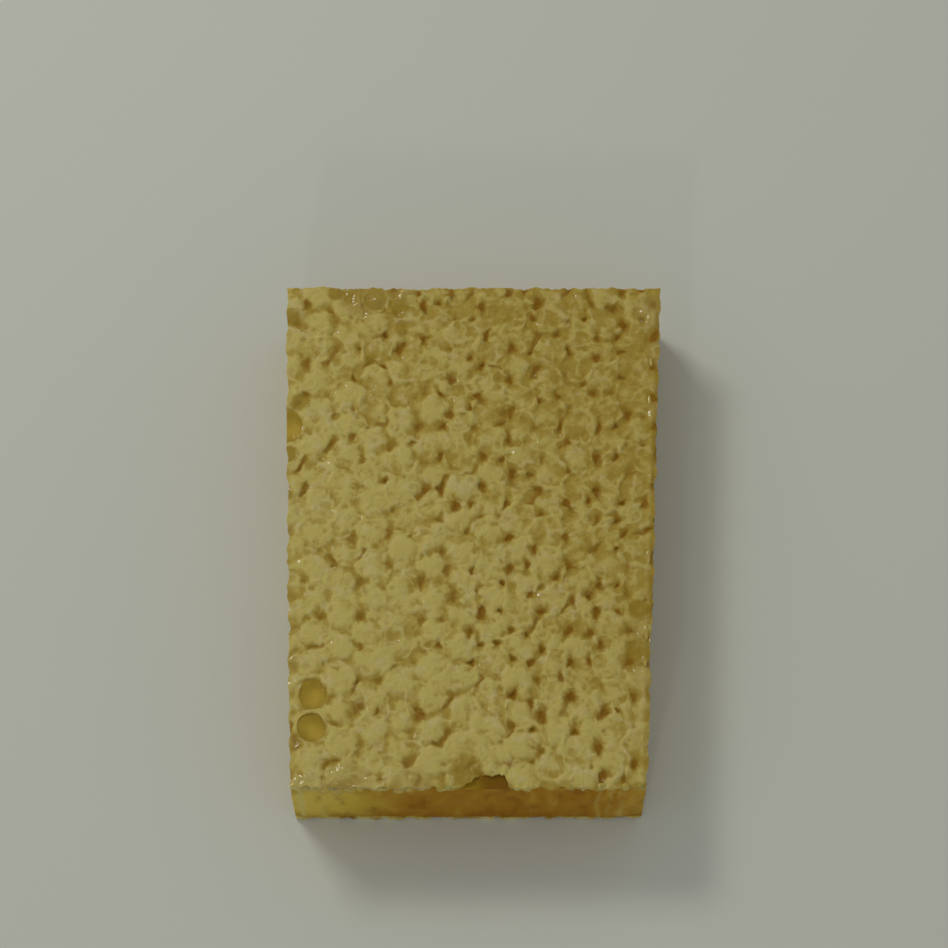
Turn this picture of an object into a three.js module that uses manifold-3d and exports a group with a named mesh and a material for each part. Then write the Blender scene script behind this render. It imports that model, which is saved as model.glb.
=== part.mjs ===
// A piece of capped honeycomb, as a beekeeper cuts it from a frame: two layers of honey-filled
// cells back to back, with a capping of wax over each of the two broad faces.
// X runs across the piece, Y away from its near cut and Z up. The piece lies on its lower capping,
// with the origin under the middle of its box. All sizes are in millimetres.
import * as THREE from "three";
import { mergeVertices } from "three/addons/utils/BufferGeometryUtils.js";
import Module from "manifold-3d";

const wasm = await Module();
wasm.setup();

// The cut slab, seen from above: its four corners leave the slightly skewed outline of a hand cut.
const LENGTH = 86.3;
const FAR_WIDTH = 62.6;
const NEAR_WIDTH = 55.7;
const NEAR_SHIFT = -0.85;
const THICKNESS = 18;

// The cells: a worker bee's comb, with two walls of each cell facing the near and the far cut.
const CELL_PITCH = 5.4;
const CELL_SIDE = CELL_PITCH / Math.sqrt(3);
const COLUMN_STEP = 1.5 * CELL_SIDE;

// The wax cappings and the clearance between a capping and the honey under it.
const CAP_BASE = 0.65;
const CAP_RELIEF = 1.1;
const LOWER_CAP = 1.3;
const CLEARANCE = 0.3;
const RAGGED = 0.55;
const RAGGED_STEP = 2.3;

// The cut sides of the comb: hollow flutes where the knife opened cells, and the wall between the layers.
const SIDE_INSET = 0.6;
const FLUTE_DEPTH = 0.75;
const FLUTE_STEPS = [0.08, 0.35, 0.65, 0.92];
const MIDRIB_INSET = 0.5;
const MIDRIB_HALF = 0.25;

// Marks of this piece, as [x, y] places on its upper face.
const OPEN_CELLS = [[-25.4, -28.0], [-25.4, -33.4]];
const OPEN_CELL_RADIUS = 2.35;
const OPEN_CELL_DEPTH = 1.0;
const SIDE_CELL = [-30.1, 19.4];
const SIDE_CELL_RADIUS = 2.2;
const NOTCH = { x: 1.8, width: 5.0, depth: 2.3 };
const TORN_PATCH = { x: -2.4, y: -39.9, radius: 2.9, drop: 0.7 };

const UPPER_CAP_FLOOR = THICKNESS - CAP_BASE - CAP_RELIEF;
const COMB_BOTTOM = LOWER_CAP + CLEARANCE;
const COMB_TOP = UPPER_CAP_FLOOR - CLEARANCE;
const COMB_MIDDLE = (COMB_BOTTOM + COMB_TOP) / 2;

const WAX = new THREE.MeshStandardMaterial({ color: 0xe1d08f, roughness: 0.5, metalness: 0 });
const HONEY = new THREE.MeshStandardMaterial({ color: 0x9e7023, roughness: 0.12, metalness: 0 });

// A repeatable number from 0 to 1 for a pair of whole numbers and a seed.
function chance(i, j, seed) {
  let h = Math.imul(i, 374761393) + Math.imul(j, 668265263) + Math.imul(seed, 1274126177);
  h = Math.imul(h ^ (h >>> 13), 1103515245);
  h = Math.imul(h ^ (h >>> 16), 2246822519);
  return ((h ^ (h >>> 15)) >>> 0) / 4294967296;
}

// The slab's corners, pulled in by an inset, in the order near left, near right, far right, far left.
function slabCorners(inset) {
  const near = -LENGTH / 2 + inset;
  const far = LENGTH / 2 - inset;
  const nearHalf = NEAR_WIDTH / 2 - inset;
  const farHalf = FAR_WIDTH / 2 - inset;
  return [
    new THREE.Vector2(NEAR_SHIFT - nearHalf, near),
    new THREE.Vector2(NEAR_SHIFT + nearHalf, near),
    new THREE.Vector2(farHalf, far),
    new THREE.Vector2(-farHalf, far),
  ];
}

// A hexagonal lattice counted in whole steps: i in half cell sides along X, j in half pitches along Y.
// A cell stands at every i that is a multiple of 3 with j of the same parity, and its six corners at
// the steps around it, so that neighbouring cells share the very same corners.
class Lattice {
  constructor(anchorX, anchorY, seed) {
    this.anchorX = anchorX;
    this.anchorY = anchorY;
    this.seed = seed;
  }

  at(i, j) {
    return new THREE.Vector2(this.anchorX + i * CELL_SIDE / 2, this.anchorY + j * CELL_PITCH / 2);
  }

  // The same place after the bees' slow drift from a perfect lattice.
  drifted(i, j) {
    const p = this.at(i, j);
    const dx = 0.28 * Math.sin(0.13 * p.y + 0.05 * p.x) + 0.16 * Math.sin(0.31 * p.x - 0.2 * p.y);
    const dy = 0.24 * Math.sin(0.15 * p.x - 0.04 * p.y) + 0.16 * Math.sin(0.27 * p.y + 0.33 * p.x);
    return p.add(new THREE.Vector2(dx, dy));
  }

  // The lattice numbers of all cells whose centres lie within a margin of the slab's box.
  cells(margin) {
    const found = [];
    const reachX = FAR_WIDTH / 2 + margin;
    const reachY = LENGTH / 2 + margin;
    const columns = Math.ceil((2 * reachX + Math.abs(this.anchorX)) / COLUMN_STEP);
    const rows = Math.ceil((2 * reachY + Math.abs(this.anchorY)) / CELL_PITCH);
    for (let column = -columns; column <= columns; column += 1) {
      for (let row = -rows; row <= rows; row += 1) {
        const i = 3 * column;
        const j = 2 * row + Math.abs(column) % 2;
        const centre = this.at(i, j);
        if (Math.abs(centre.x) < reachX && Math.abs(centre.y) < reachY) {
          found.push([i, j]);
        }
      }
    }
    return found;
  }
}

const CORNER_STEPS = [[2, 0], [1, 1], [-1, 1], [-2, 0], [-1, -1], [1, -1]];
const upperLattice = new Lattice(OPEN_CELLS[0][0], OPEN_CELLS[0][1], 11);
// Each cell of the lower layer stands under a corner of three upper cells, as bees build it.
const lowerLattice = new Lattice(OPEN_CELLS[0][0] + CELL_SIDE, OPEN_CELLS[0][1], 23);

function toSolid(geometry) {
  const bare = geometry.clone();
  bare.deleteAttribute("normal");
  bare.deleteAttribute("uv");
  const merged = mergeVertices(bare, 1e-4);
  return new wasm.Manifold(new wasm.Mesh({
    numProp: 3,
    vertProperties: new Float32Array(merged.attributes.position.array),
    triVerts: new Uint32Array(merged.index.array),
  }));
}

function toMesh(solid, name, material) {
  const mesh = solid.getMesh();
  const geometry = new THREE.BufferGeometry();
  geometry.setAttribute("position", new THREE.BufferAttribute(new Float32Array(mesh.vertProperties), 3));
  geometry.setIndex(new THREE.BufferAttribute(new Uint32Array(mesh.triVerts), 1));
  geometry.computeVertexNormals();
  const result = new THREE.Mesh(geometry, material);
  result.name = name;
  return result;
}

// An upright prism over an outline, from one height to another.
function prism(outline, bottom, top) {
  const geometry = new THREE.ExtrudeGeometry(new THREE.Shape(outline), { depth: top - bottom, bevelEnabled: false });
  return toSolid(geometry.translate(0, 0, bottom));
}

function roundHole(x, y, radius, bottom, top) {
  const geometry = new THREE.CylinderGeometry(radius, radius, top - bottom, 14);
  return toSolid(geometry.rotateX(Math.PI / 2).translate(x, y, (bottom + top) / 2));
}

// The stretch of a cut, as two fractions of its length, that lies inside one hexagonal cell.
function cutThroughCell(start, end, centre) {
  let enter = 0;
  let leave = 1;
  for (let wall = 0; wall < 6; wall += 1) {
    const angle = Math.PI / 6 + wall * Math.PI / 3;
    const normal = new THREE.Vector2(Math.cos(angle), Math.sin(angle));
    const from = normal.dot(start.clone().sub(centre)) - CELL_PITCH / 2;
    const to = normal.dot(end.clone().sub(centre)) - CELL_PITCH / 2;
    if (from > 0 && to > 0) {
      return null;
    }
    if (from > 0) {
      enter = Math.max(enter, from / (from - to));
    } else if (to > 0) {
      leave = Math.min(leave, from / (from - to));
    }
  }
  return leave > enter ? [enter, leave] : null;
}

// The outline of one layer of cells: every cell that a side cuts open leaves a hollow flute.
function flutedOutline(lattice) {
  const corners = slabCorners(SIDE_INSET);
  const cells = lattice.cells(CELL_PITCH);
  const outline = [];
  corners.forEach((start, side) => {
    const end = corners[(side + 1) % corners.length];
    const length = start.distanceTo(end);
    const inward = new THREE.Vector2(start.y - end.y, end.x - start.x).normalize();
    const cuts = cells.map(([i, j]) => cutThroughCell(start, end, lattice.at(i, j))).filter(Boolean);
    cuts.sort((a, b) => a[0] - b[0]);
    outline.push(start);
    for (const [enter, leave] of cuts) {
      const opening = (leave - enter) * length;
      const depth = FLUTE_DEPTH * Math.min(1, opening / CELL_PITCH);
      if (opening < CELL_PITCH / 4) {
        continue;
      }
      for (const part of FLUTE_STEPS) {
        const along = enter + (leave - enter) * part;
        const sink = depth * Math.sin(Math.PI * part);
        outline.push(start.clone().lerp(end, along).addScaledVector(inward, sink));
      }
    }
  });
  return outline;
}

// The comb: both layers of cells, full of honey, with the wall between them standing out at the cuts.
function combBody() {
  const lower = prism(flutedOutline(lowerLattice), COMB_BOTTOM, COMB_MIDDLE);
  const upper = prism(flutedOutline(upperLattice), COMB_MIDDLE, COMB_TOP);
  const midrib = prism(slabCorners(MIDRIB_INSET), COMB_MIDDLE - MIDRIB_HALF, COMB_MIDDLE + MIDRIB_HALF);
  let comb = lower.add(upper).add(midrib);
  for (const [x, y] of OPEN_CELLS) {
    comb = comb.subtract(roundHole(x, y, OPEN_CELL_RADIUS, COMB_TOP - OPEN_CELL_DEPTH, THICKNESS));
  }
  return toMesh(comb, "honey_comb", HONEY);
}

// The outline of a capping: the slab's corners joined by the crumbling line that a knife leaves in wax.
function raggedOutline(seed) {
  const corners = slabCorners(0);
  const outline = [];
  corners.forEach((start, side) => {
    const end = corners[(side + 1) % corners.length];
    const length = start.distanceTo(end);
    const inward = new THREE.Vector2(start.y - end.y, end.x - start.x).normalize();
    const steps = Math.round(length / RAGGED_STEP);
    for (let step = 0; step < steps; step += 1) {
      const sink = step === 0 ? RAGGED / 2 : RAGGED * chance(step, side, seed);
      outline.push(start.clone().lerp(end, step / steps).addScaledVector(inward, sink));
    }
  });
  return outline;
}

// How deep the wax sinks at a corner of three cells: of the six round a cell, every other one is a pit.
function pitDepth(i, j, seed) {
  const isPit = ((i % 3) + 3) % 3 === 2;
  const depth = isPit ? 0.55 + 0.45 * chance(i, j, seed) : 0.2 + 0.35 * chance(i, j, seed);
  return CAP_RELIEF * depth;
}

// How much lower the torn patch near the front leaves the wax.
function tearDepth(place) {
  const distance = Math.hypot(place.x - TORN_PATCH.x, place.y - TORN_PATCH.y);
  return distance < TORN_PATCH.radius ? TORN_PATCH.drop : 0;
}

// The wax over one cell: a low dome with a blunt top that falls to the six corners around it.
function upperCell(lattice, i, j, triangles) {
  const middle = lattice.drifted(i, j);
  const crest = THICKNESS - 0.35 * CAP_RELIEF * chance(i, j, lattice.seed) - tearDepth(middle);
  const top = new THREE.Vector3(middle.x, middle.y, crest - 0.12 * CAP_RELIEF);
  const ring = CORNER_STEPS.map(([di, dj]) => {
    const corner = lattice.drifted(i + di, j + dj);
    const place = middle.clone().lerp(corner, 0.58 + 0.1 * chance(i + di, j + dj, lattice.seed + 1));
    const height = crest - 0.15 * CAP_RELIEF * chance(i * 7 + di, j * 7 + dj, lattice.seed);
    return new THREE.Vector3(place.x, place.y, height);
  });
  const foot = CORNER_STEPS.map(([di, dj]) => {
    const corner = lattice.drifted(i + di, j + dj);
    const depth = pitDepth(i + di, j + dj, lattice.seed);
    return new THREE.Vector3(corner.x, corner.y, THICKNESS - Math.max(depth, tearDepth(corner)));
  });
  addFan(top, ring, triangles);
  addBand(ring, foot, triangles);
}

// The wax under one cell: the dome is pressed flat where the piece rests, with a groove all round.
function lowerCell(lattice, i, j, triangles) {
  const middle = lattice.drifted(i, j);
  const ring = CORNER_STEPS.map(([di, dj]) => {
    const place = middle.clone().lerp(lattice.drifted(i + di, j + dj), 0.72);
    return new THREE.Vector3(place.x, place.y, 0);
  });
  const foot = CORNER_STEPS.map(([di, dj]) => {
    const corner = lattice.drifted(i + di, j + dj);
    return new THREE.Vector3(corner.x, corner.y, 0.55 * pitDepth(i + di, j + dj, lattice.seed));
  });
  for (let k = 1; k < 5; k += 1) {
    triangles.push(ring[0], ring[k + 1], ring[k]);
  }
  addBand(foot, ring, triangles);
}

function addFan(top, ring, triangles) {
  ring.forEach((point, k) => triangles.push(top, point, ring[(k + 1) % ring.length]));
}

function addBand(inner, outer, triangles) {
  inner.forEach((point, k) => {
    const next = (k + 1) % inner.length;
    triangles.push(point, outer[k], outer[next]);
    triangles.push(point, outer[next], inner[next]);
  });
}

// A closed block whose one face is the relief of all cells and whose other face is a copy of it,
// laid flat at the given height. Cutting it with a capping's outline leaves the capping.
function reliefBlock(lattice, shapeCell, flatHeight) {
  const relief = [];
  for (const [i, j] of lattice.cells(2 * CELL_PITCH)) {
    shapeCell(lattice, i, j, relief);
  }
  const points = [...relief];
  for (let k = 0; k < relief.length; k += 3) {
    for (const corner of [relief[k], relief[k + 2], relief[k + 1]]) {
      points.push(new THREE.Vector3(corner.x, corner.y, flatHeight));
    }
  }
  for (const [from, to] of openEdges(relief)) {
    const fromFlat = new THREE.Vector3(from.x, from.y, flatHeight);
    const toFlat = new THREE.Vector3(to.x, to.y, flatHeight);
    points.push(from, fromFlat, toFlat);
    points.push(from, toFlat, to);
  }
  return toSolid(new THREE.BufferGeometry().setFromPoints(points));
}

// The edges that only one triangle of a surface has, which are those round its border.
function openEdges(triangles) {
  const key = (a, b) => [a.x, a.y, b.x, b.y].map((value) => value.toFixed(3)).join(" ");
  const edges = new Map();
  for (let k = 0; k < triangles.length; k += 3) {
    for (const [a, b] of [[k, k + 1], [k + 1, k + 2], [k + 2, k]]) {
      const back = key(triangles[b], triangles[a]);
      if (edges.has(back)) {
        edges.delete(back);
      } else {
        edges.set(key(triangles[a], triangles[b]), [triangles[a], triangles[b]]);
      }
    }
  }
  return edges.values();
}

// The near edge's torn notch, wider at the cut than at its end.
function notchOutline() {
  const near = -LENGTH / 2 - 1;
  const end = -LENGTH / 2 + NOTCH.depth;
  const half = NOTCH.width / 2;
  return [
    new THREE.Vector2(NOTCH.x - half, near),
    new THREE.Vector2(NOTCH.x + half, near),
    new THREE.Vector2(NOTCH.x + 0.86 * half, end - 0.5 * NOTCH.depth),
    new THREE.Vector2(NOTCH.x + 0.5 * half, end),
    new THREE.Vector2(NOTCH.x - 0.45 * half, end - 0.1 * NOTCH.depth),
    new THREE.Vector2(NOTCH.x - 0.8 * half, end - 0.6 * NOTCH.depth),
  ];
}

// The capping on top, open over the two uncapped cells, at the cell cut open on the left and at the notch.
function upperCapping() {
  const sheet = prism(raggedOutline(5), UPPER_CAP_FLOOR, THICKNESS + 1);
  let capping = reliefBlock(upperLattice, upperCell, COMB_MIDDLE).intersect(sheet);
  for (const [x, y] of OPEN_CELLS) {
    capping = capping.subtract(roundHole(x, y, OPEN_CELL_RADIUS, COMB_MIDDLE, THICKNESS + 1));
  }
  const [sideX, sideY] = SIDE_CELL;
  capping = capping.subtract(roundHole(sideX, sideY, SIDE_CELL_RADIUS, COMB_MIDDLE, THICKNESS + 1));
  capping = capping.subtract(prism(notchOutline(), COMB_MIDDLE, THICKNESS + 1));
  return toMesh(capping, "upper_capping", WAX);
}

// The capping underneath, pressed level by the weight of the comb.
function lowerCapping() {
  const sheet = prism(raggedOutline(8), -1, LOWER_CAP);
  const capping = reliefBlock(lowerLattice, lowerCell, COMB_MIDDLE).intersect(sheet);
  return toMesh(capping, "lower_capping", WAX);
}

const group = new THREE.Group();
group.add(lowerCapping());
group.add(combBody());
group.add(upperCapping());

// The origin goes under the middle of the finished piece's box, at the height that it rests on.
const reach = new THREE.Box3().setFromObject(group);
const boxMiddle = reach.getCenter(new THREE.Vector3());
group.position.set(-boxMiddle.x, -boxMiddle.y, -reach.min.z);
group.updateMatrixWorld(true);

export default group;
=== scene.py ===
import math
import random
from functools import reduce

import bpy
import numpy as np
from bpy.props import FloatProperty, FloatVectorProperty, IntProperty, PointerProperty
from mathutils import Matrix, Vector


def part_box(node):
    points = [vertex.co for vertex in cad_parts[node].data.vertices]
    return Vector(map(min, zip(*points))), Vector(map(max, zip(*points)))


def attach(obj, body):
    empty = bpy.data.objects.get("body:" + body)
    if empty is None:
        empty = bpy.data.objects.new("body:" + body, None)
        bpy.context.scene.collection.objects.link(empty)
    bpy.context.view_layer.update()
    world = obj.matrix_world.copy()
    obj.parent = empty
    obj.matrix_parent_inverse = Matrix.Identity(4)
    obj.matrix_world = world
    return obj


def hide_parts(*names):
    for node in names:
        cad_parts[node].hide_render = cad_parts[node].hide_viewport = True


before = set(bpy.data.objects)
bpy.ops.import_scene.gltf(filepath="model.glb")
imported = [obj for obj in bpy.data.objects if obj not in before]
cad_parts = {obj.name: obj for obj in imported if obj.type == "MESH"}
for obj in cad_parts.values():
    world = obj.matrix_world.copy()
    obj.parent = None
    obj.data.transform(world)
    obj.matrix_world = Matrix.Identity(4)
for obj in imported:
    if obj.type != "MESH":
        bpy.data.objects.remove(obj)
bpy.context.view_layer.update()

bl_info = {
    "name": "Comb Honey Piece",
    "version": (1, 0, 0),
    "blender": (4, 5, 0),
    "location": "3D View > Sidebar > Comb",
    "description": "Models a cut piece of capped honeycomb around its packed frame",
    "category": "Add Mesh",
}

MM = 0.001
CAP_LOW, CAP_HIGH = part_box("upper_capping")
COMB_LOW, COMB_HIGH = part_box("honey_comb")

# The slab's outline, repeated from the solids: the near cut is the narrower one.
FAR_HALF = CAP_HIGH.x
FAR_Y = CAP_HIGH.y
NEAR_Y = CAP_LOW.y
NEAR_LEFT = -28.7 * MM
NEAR_RIGHT = 27.0 * MM

# The first of the two uncapped cells carries the lattice of the upper layer. A cell of the lower
# layer stands under each corner where three upper cells meet.
UPPER_ANCHOR = Vector((-25.4 * MM, -28.0 * MM))
LOWER_ANCHOR = Vector((-22.2823 * MM, -28.0 * MM))

# The cells without a capping, and how far to the right their mouths lean.
OPEN_CELLS = [Vector(spot) * MM for spot in ((-25.4, -28.0), (-25.4, -33.4), (-30.08, 17.9))]
OPEN_SHIFT = 0.35 * MM

# Cells of the lattice are kept while their centres lie this close to the slab.
OUT_OF_SLAB = 3.4 * MM
MIDRIB_Z = (COMB_LOW.z + COMB_HIGH.z) / 2


def comb_settings():
    return bpy.context.scene.comb_piece


# ---------------------------------------------------------------- modelling helpers

def deselect():
    if bpy.context.mode != "OBJECT":
        bpy.ops.object.mode_set(mode="OBJECT")
    bpy.ops.object.select_all(action="DESELECT")


def activate(obj):
    """Select one object alone and make it the active one."""
    deselect()
    obj.select_set(True)
    bpy.context.view_layer.objects.active = obj


def settle(scale=(1, 1, 1)):
    """Scale the object that was just added, apply its transforms and hand it on."""
    made = bpy.context.object
    made.scale = scale
    bpy.ops.object.transform_apply(location=True, rotation=True, scale=True)
    return made


def edit(obj, kind="FACE"):
    """Open an object in edit mode, with one kind of element to select and nothing selected."""
    activate(obj)
    bpy.context.tool_settings.mesh_select_mode = (kind == "VERT", kind == "EDGE", kind == "FACE")
    bpy.ops.object.mode_set(mode="EDIT")
    bpy.ops.mesh.select_all(action="DESELECT")


def edit_all(obj, kind="FACE"):
    """Open an object in edit mode with everything selected."""
    edit(obj, kind)
    bpy.ops.mesh.select_all(action="SELECT")


def leave(obj):
    bpy.ops.object.mode_set(mode="OBJECT")
    return obj


def flatten(height):
    """Press what is selected flat at a height."""
    bpy.ops.transform.resize(value=(1, 1, 0), center_override=(0, 0, height))


def select_rims():
    bpy.ops.mesh.select_non_manifold(extend=False, use_wire=False, use_boundary=True, use_multi_face=False,
                                     use_non_contiguous=False, use_verts=False)


def places(obj, kind="VERT"):
    """The places of all vertices, or the centres of all faces, as rows of numbers."""
    mesh = obj.data
    if kind == "VERT":
        out = np.empty(len(mesh.vertices) * 3)
        mesh.vertices.foreach_get("co", out)
    else:
        out = np.empty(len(mesh.polygons) * 3)
        mesh.polygons.foreach_get("center", out)
    return out.reshape(-1, 3)


def reshape(obj, step, kind="FACE", **values):
    """Take one step of editing with everything selected."""
    edit_all(obj, kind)
    step(**values)
    return leave(obj)


def choose(obj, mask, kind="FACE"):
    """Select the faces or vertices that a mask of truths marks, and stay in edit mode."""
    edit(obj, kind)
    bpy.ops.object.mode_set(mode="OBJECT")
    elements = obj.data.polygons if kind == "FACE" else obj.data.vertices
    elements.foreach_set("select", np.asarray(mask, dtype=bool))
    bpy.ops.object.mode_set(mode="EDIT")


def remove_faces(obj, mask):
    choose(obj, mask)
    bpy.ops.mesh.delete(type="FACE")
    return leave(obj)


def apply_modifier(obj, kind, **values):
    activate(obj)
    modifier = obj.modifiers.new(kind.title(), kind)
    for key, value in values.items():
        setattr(modifier, key, value)
    bpy.ops.object.modifier_apply(modifier=modifier.name)


def rumple(obj, texture, strength, direction="Z", group="", middle=0.5):
    apply_modifier(obj, "DISPLACE", texture=texture, strength=strength, direction=direction,
                   mid_level=middle, vertex_group=group, texture_coords="LOCAL")


def cloud_texture(name, size, depth=1, hard=False):
    texture = bpy.data.textures.new(name, "CLOUDS")
    texture.noise_scale = size
    texture.noise_depth = depth
    texture.noise_type = "HARD_NOISE" if hard else "SOFT_NOISE"
    return texture


def far_from(points, spot):
    """How far each place lies from a spot, seen from above."""
    return np.hypot(points[:, 0] - spot[0], points[:, 1] - spot[1])


def nudge(obj, spot, reach, rise):
    """Pull the surface up or down at a spot, fading out smoothly at some reach."""
    points = places(obj)
    mask = np.zeros(len(points), dtype=bool)
    mask[np.argmin(far_from(points, spot))] = True
    choose(obj, mask, "VERT")
    bpy.ops.transform.translate(value=(0, 0, rise), use_proportional_edit=True,
                                proportional_edit_falloff="SMOOTH", proportional_size=reach)
    leave(obj)


def paint_attribute(obj, name, values):
    """Store one number for each vertex, for a material to read."""
    layer = obj.data.attributes.get(name) or obj.data.attributes.new(name, "FLOAT", "POINT")
    layer.data.foreach_set("value", np.asarray(values, dtype=np.float32))


def weight_group(obj, name, weights):
    """A vertex group with one weight for each vertex, in steps of a twentieth."""
    group = obj.vertex_groups.new(name=name)
    steps = np.round(np.clip(weights, 0, 1) * 20).astype(int)
    for step in range(1, 21):
        group.add([int(k) for k in np.flatnonzero(steps == step)], step / 20, "REPLACE")
    return name


def slab_sides(inset):
    """The four cut sides, each as a point on it and its outward normal, pulled in by an inset."""
    corners = [
        Vector((NEAR_LEFT, NEAR_Y, 0)),
        Vector((NEAR_RIGHT, NEAR_Y, 0)),
        Vector((FAR_HALF, FAR_Y, 0)),
        Vector((-FAR_HALF, FAR_Y, 0)),
    ]
    sides = []
    for k, start in enumerate(corners):
        end = corners[(k + 1) % 4]
        along = (end - start).normalized()
        outward = Vector((along.y, -along.x, 0))
        sides.append((start - outward * inset, outward))
    return sides


def beyond_side(points, start, outward):
    return (points[:, 0] - start.x) * outward.x + (points[:, 1] - start.y) * outward.y


def beyond_slab(points):
    """How far each place lies outside the slab's outline; less than zero is inside."""
    return np.max([beyond_side(points, *side) for side in slab_sides(0)], axis=0)


def cut_to_slab(obj, insets, fill=False):
    """Cut along the four sides, in the order near, right, far, left, each pulled in by its inset."""
    for k, inset in enumerate(insets):
        start, outward = slab_sides(inset)[k]
        reshape(obj, bpy.ops.mesh.bisect, "VERT", plane_co=start, plane_no=outward, clear_outer=True,
                use_fill=fill, threshold=0.00001 * MM)


def hexagon_tiling(name, anchor):
    """A flat sheet of touching hexagons over the whole slab, with corners to the left and right."""
    pitch = comb_settings().cell_pitch
    side = pitch / math.sqrt(3)
    reach_x = FAR_HALF + pitch
    reach_y = FAR_Y + pitch
    x = anchor.x - 3 * side * math.floor((anchor.x + reach_x) / (3 * side))
    y = anchor.y - pitch * math.floor((anchor.y + reach_y) / pitch)
    deselect()
    bpy.ops.mesh.primitive_circle_add(vertices=6, radius=side, fill_type="NGON", location=(x, y, CAP_GROOVE),
                                      rotation=(0, 0, math.pi / 6))
    sheet = settle()
    sheet.name = name
    reshape(sheet, bpy.ops.mesh.subdivide, "EDGE", number_cuts=1)
    rows = math.ceil((reach_y - y) / pitch)
    pairs = math.ceil((reach_x - x) / (3 * side))
    for count, step in ((rows, (0, pitch, 0)), (2, (1.5 * side, pitch / 2, 0)), (pairs, (3 * side, 0, 0))):
        apply_modifier(sheet, "ARRAY", count=count, use_relative_offset=False, use_constant_offset=True,
                       constant_offset_displace=step)
    edit_all(sheet, "VERT")
    bpy.ops.mesh.remove_doubles(threshold=0.05 * MM)
    bpy.ops.mesh.normals_make_consistent(inside=False)
    leave(sheet)
    return remove_faces(sheet, beyond_slab(places(sheet, "FACE")) > OUT_OF_SLAB)


def shake(obj, amount, seed):
    """Move every vertex a little, each its own way."""
    reshape(obj, bpy.ops.transform.vertex_random, "VERT", offset=amount, uniform=1.0, normal=0.0, seed=seed)


def drift(obj):
    """Let the lattice wander, alike in every piece that starts from it."""
    wander = cloud_texture("lattice drift", 14 * MM)
    rumple(obj, wander, 1.1 * MM, "X")
    wander.noise_scale = 11 * MM
    rumple(obj, wander, 1.1 * MM, "Y")


def comb_outline(name, anchor, height):
    """The outlines of one layer's cells, as uneven as bees leave them, flat at a height."""
    sheet = hexagon_tiling(name, anchor)
    shake(sheet, 0.3 * MM, comb_settings().relief_seed)
    reshape(sheet, flatten, "VERT", height=CAP_GROOVE)
    drift(sheet)
    return reshape(sheet, bpy.ops.transform.translate, "VERT", value=(0, 0, height - CAP_GROOVE))


def neighbour_mean(mesh, values, rounds):
    """Values at the vertices, each averaged over its neighbours a number of times."""
    edges = np.empty(len(mesh.edges) * 2, dtype=np.int64)
    mesh.edges.foreach_get("vertices", edges)
    one, other = edges.reshape(-1, 2).T
    count = np.bincount(edges, minlength=len(values)) + 1e-9
    for _ in range(rounds):
        total = np.bincount(one, values[other], len(values)) + np.bincount(other, values[one], len(values))
        values = (values + total / count) / 2
    return values


# ---------------------------------------------------------------- shader helpers

class Signal:
    """A number that varies over a surface: Python's operators on it add Math nodes."""

    def __init__(self, paint, socket):
        self.paint = paint
        self.socket = socket

    def math(self, operation, *values):
        node = self.paint.node("ShaderNodeMath", {"operation": operation}, dict(enumerate(values)))
        return Signal(self.paint, node.outputs[0])

    def __add__(self, other):
        return self.math("ADD", self, other)

    __radd__ = __add__

    def __sub__(self, other):
        return self.math("SUBTRACT", self, other)

    def __rsub__(self, other):
        return self.math("SUBTRACT", other, self)

    def __mul__(self, other):
        return self.math("MULTIPLY", self, other)

    __rmul__ = __mul__

    def size(self):
        return self.math("ABSOLUTE", self)

    def larger(self, other):
        return self.math("MAXIMUM", self, other)

    def between(self, low, high):
        """0 below low and 1 above high, or the other way round where low is the larger."""
        node = self.paint.node("ShaderNodeMapRange", {"interpolation_type": "SMOOTHSTEP"},
                               {"Value": self, "From Min": low, "From Max": high})
        return Signal(self.paint, node.outputs[0])


def largest(signals):
    """The largest of several signals at each place."""
    return reduce(Signal.larger, signals)


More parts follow.
